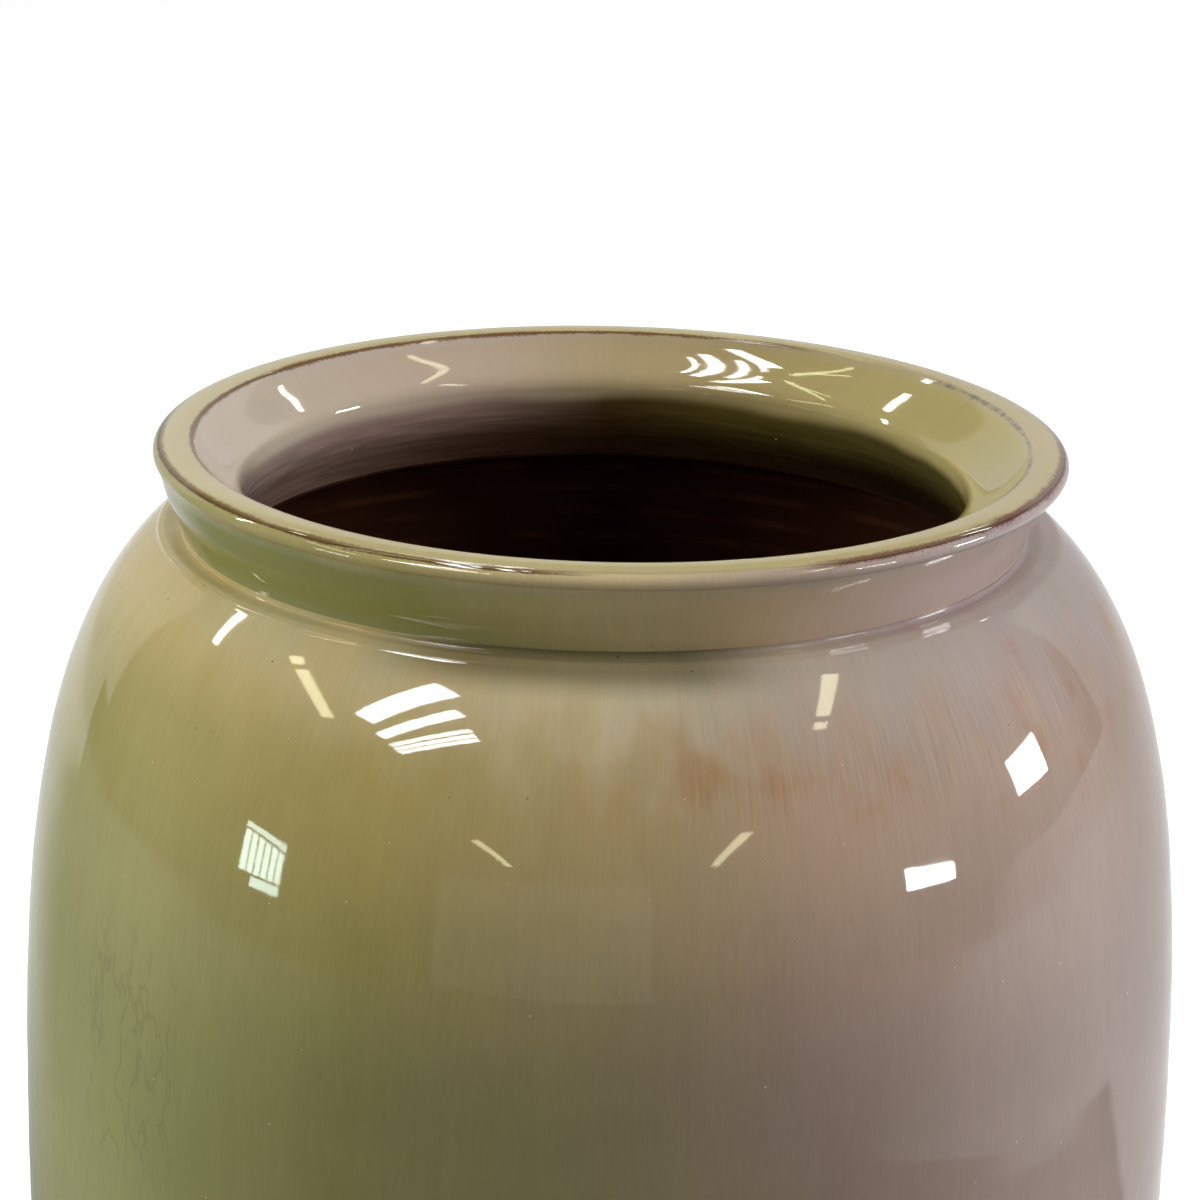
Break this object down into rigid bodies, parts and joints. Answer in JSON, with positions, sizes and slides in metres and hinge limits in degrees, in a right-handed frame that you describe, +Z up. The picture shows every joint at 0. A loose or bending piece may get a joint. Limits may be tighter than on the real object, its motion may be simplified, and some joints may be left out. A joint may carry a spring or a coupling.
{
  "type": "stoneware vase",
  "caption": "Large wide-mouthed stoneware vase: high rounded shoulder, short flared collar with a rolled lip, tapering body on an unglazed foot ring, glossy glaze.",
  "frame": {"origin": "middle of the foot ring, on the ground", "axes": "+Z up along the axis the vase was thrown on; -Y is the front, where it was seen from"},
  "size_m": [0.3199, 0.32, 0.4],
  "materials": {
    "bare_stoneware": "unglazed fired stoneware, dry and slightly gritty",
    "stoneware": "fired stoneware body, brown where bare at the lip",
    "luting_clay": "fired coil of the body clay, finger-smoothed",
    "liner_glaze": "dark brown gloss liner glaze over throwing rings",
    "throat_glaze": "clear gloss, olive cream to pale pink",
    "lip_glaze": "clear gloss, cream yellow, breaking brown at its edges",
    "collar_glaze": "clear gloss, olive to brown mauve",
    "shoulder_glaze": "clear gloss, pale celadon with rust streaks, softly running",
    "body_glaze": "clear gloss, olive green flashing to mauve, fine vertical streaks"
  },
  "bodies": {
    "root": {"foot_ring": "bare_stoneware", "base_slab": "bare_stoneware", "heel_coil": "luting_clay", "lower_wall": "stoneware", "belly_coil": "luting_clay", "upper_wall": "stoneware", "neck_coil": "luting_clay", "neck_collar": "stoneware", "liner_glaze": "liner_glaze", "throat_glaze": "throat_glaze", "lip_glaze": "lip_glaze", "collar_glaze": "collar_glaze", "shoulder_glaze": "shoulder_glaze", "body_glaze": "body_glaze"}
  },
  "joints": []
}
